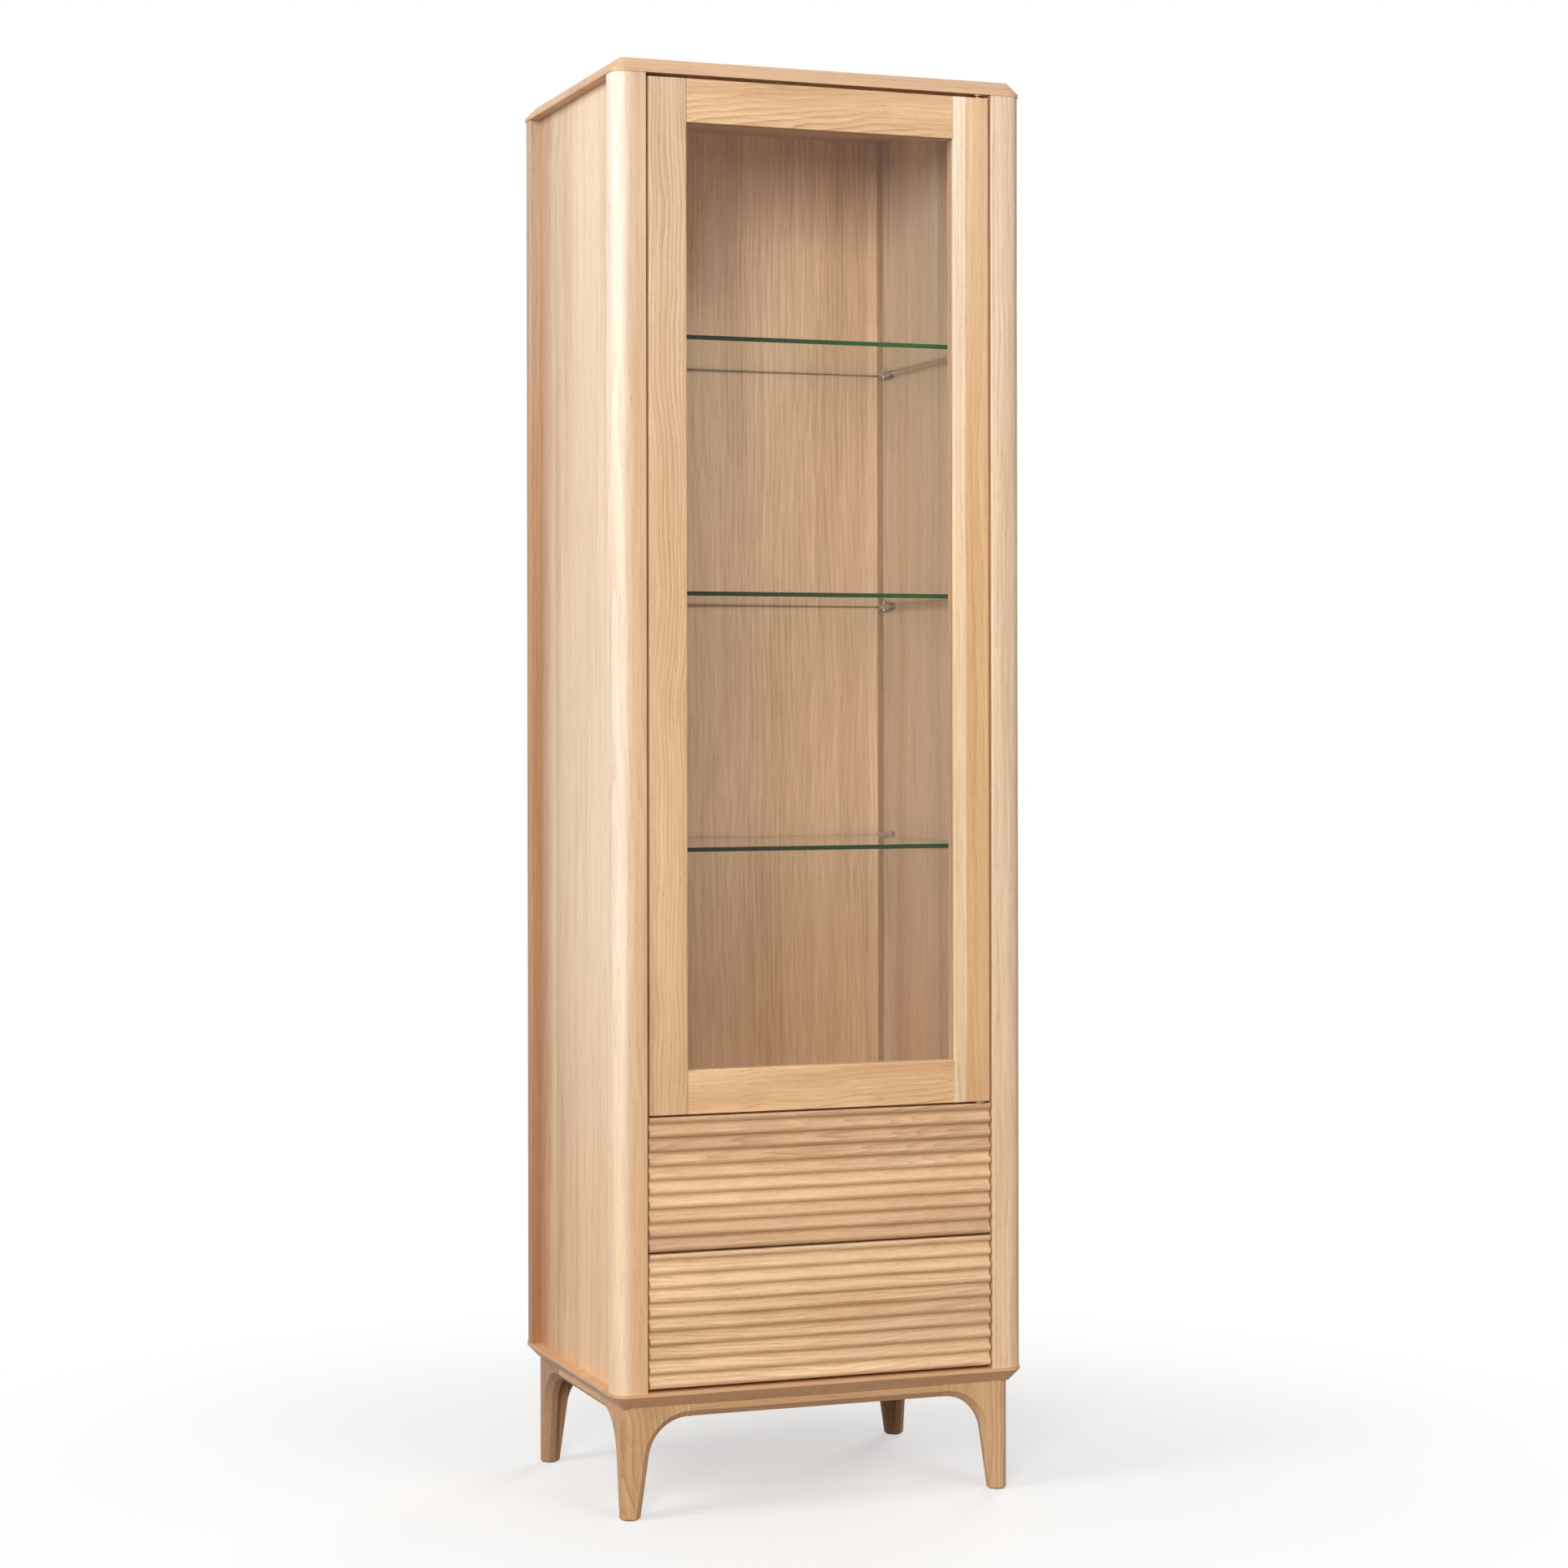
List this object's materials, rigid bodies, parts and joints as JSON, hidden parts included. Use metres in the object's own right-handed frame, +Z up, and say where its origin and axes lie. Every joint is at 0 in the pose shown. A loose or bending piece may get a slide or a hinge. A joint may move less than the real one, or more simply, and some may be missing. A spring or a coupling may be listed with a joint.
{
  "type": "display cabinet",
  "caption": "Tall free-standing oak display cabinet on bracket legs: glazed pivot door, glass shelves and fluted drawers, to show and store small things.",
  "frame": {"origin": "on the floor, under the centre of the cabinet", "axes": "+Z up, +Y to the back, +X to the right seen from the front"},
  "size_m": [0.609, 0.453, 2],
  "materials": {
    "oak": "oiled solid oak, satin",
    "oak_veneer": "oiled oak veneer, satin",
    "drawer_wood": "lacquered pale wood, satin",
    "door_glass": "clear float glass",
    "shelf_glass": "clear float glass, ground edges",
    "bright_metal": "nickel plated",
    "slide_steel": "zinc plated steel",
    "bush_brass": "plain turned brass",
    "grey_plastic": "moulded, matt"
  },
  "bodies": {
    "cabinet": {"top_panel": "oak", "bottom_panel": "oak", "post_front_left": "oak", "post_front_right": "oak", "post_back_left": "oak", "post_back_right": "oak", "leg_front_left": "oak", "leg_front_right": "oak", "leg_back_left": "oak", "leg_back_right": "oak", "apron_front": "oak", "apron_back": "oak", "apron_left": "oak", "apron_right": "oak", "side_panel_left": "oak_veneer", "side_panel_right": "oak_veneer", "back_panel": "oak_veneer", "display_floor": "oak_veneer", "runner_cleats": "drawer_wood", "glass_shelf_upper": "shelf_glass", "glass_shelf_middle": "shelf_glass", "glass_shelf_lower": "shelf_glass", "shelf_supports_upper": "bright_metal", "shelf_supports_middle": "bright_metal", "shelf_supports_lower": "bright_metal", "cam_locks": "bright_metal", "pivot_plate_upper": "slide_steel", "pivot_plate_lower": "slide_steel", "slide_rails_upper": "slide_steel", "slide_rails_lower": "slide_steel", "door_latch_housing": "grey_plastic", "drawer_latch_housings": "grey_plastic"},
    "door": {"door_stile_left": "oak", "door_stile_right": "oak", "door_rail_top": "oak", "door_rail_bottom": "oak", "glazing_beads": "oak", "door_glass": "door_glass", "pivot_bushes": "bush_brass", "door_strike": "slide_steel"},
    "drawer_upper": {"drawer_front_upper": "oak", "drawer_inner_front_upper": "drawer_wood", "drawer_side_left_upper": "drawer_wood", "drawer_side_right_upper": "drawer_wood", "drawer_back_upper": "drawer_wood", "drawer_bottom_upper": "drawer_wood", "slide_inners_upper": "slide_steel"},
    "drawer_lower": {"drawer_front_lower": "oak", "drawer_inner_front_lower": "drawer_wood", "drawer_side_left_lower": "drawer_wood", "drawer_side_right_lower": "drawer_wood", "drawer_back_lower": "drawer_wood", "drawer_bottom_lower": "drawer_wood", "slide_inners_lower": "slide_steel"},
    "slide_middle_upper": {"slide_middles_upper": "slide_steel"},
    "slide_middle_lower": {"slide_middles_lower": "slide_steel"},
    "door_plunger": {"door_latch_plunger": "grey_plastic"},
    "drawer_plunger_upper": {"drawer_latch_plunger_upper": "grey_plastic"},
    "drawer_plunger_lower": {"drawer_latch_plunger_lower": "grey_plastic"}
  },
  "joints": [
    {"name": "door_swing", "type": "hinge", "parent": "cabinet", "child": "door", "pos_m": [0.239, -0.215, 0.555], "axis": [0, 0, 1], "range_deg": [0, 105]},
    {"name": "drawer_upper_pull", "type": "slide", "parent": "cabinet", "child": "drawer_upper", "axis": [0, -1, 0], "range_m": [0, 0.33]},
    {"name": "slide_middle_upper_run", "type": "slide", "parent": "cabinet", "child": "slide_middle_upper", "axis": [0, -1, 0], "range_m": [0, 0.165]},
    {"name": "drawer_lower_pull", "type": "slide", "parent": "cabinet", "child": "drawer_lower", "axis": [0, -1, 0], "range_m": [0, 0.33]},
    {"name": "slide_middle_lower_run", "type": "slide", "parent": "cabinet", "child": "slide_middle_lower", "axis": [0, -1, 0], "range_m": [0, 0.165]},
    {"name": "door_plunger_press", "type": "slide", "parent": "cabinet", "child": "door_plunger", "axis": [0, 1, 0], "range_m": [0, 0.003], "stiffness_N_per_m": 300},
    {"name": "drawer_plunger_upper_press", "type": "slide", "parent": "cabinet", "child": "drawer_plunger_upper", "axis": [0, 1, 0], "range_m": [0, 0.003], "stiffness_N_per_m": 300},
    {"name": "drawer_plunger_lower_press", "type": "slide", "parent": "cabinet", "child": "drawer_plunger_lower", "axis": [0, 1, 0], "range_m": [0, 0.003], "stiffness_N_per_m": 300}
  ],
  "couplings": [
    {"joint": "slide_middle_upper_run", "follows": "drawer_upper_pull", "ratio": 0.5},
    {"joint": "slide_middle_lower_run", "follows": "drawer_lower_pull", "ratio": 0.5}
  ]
}
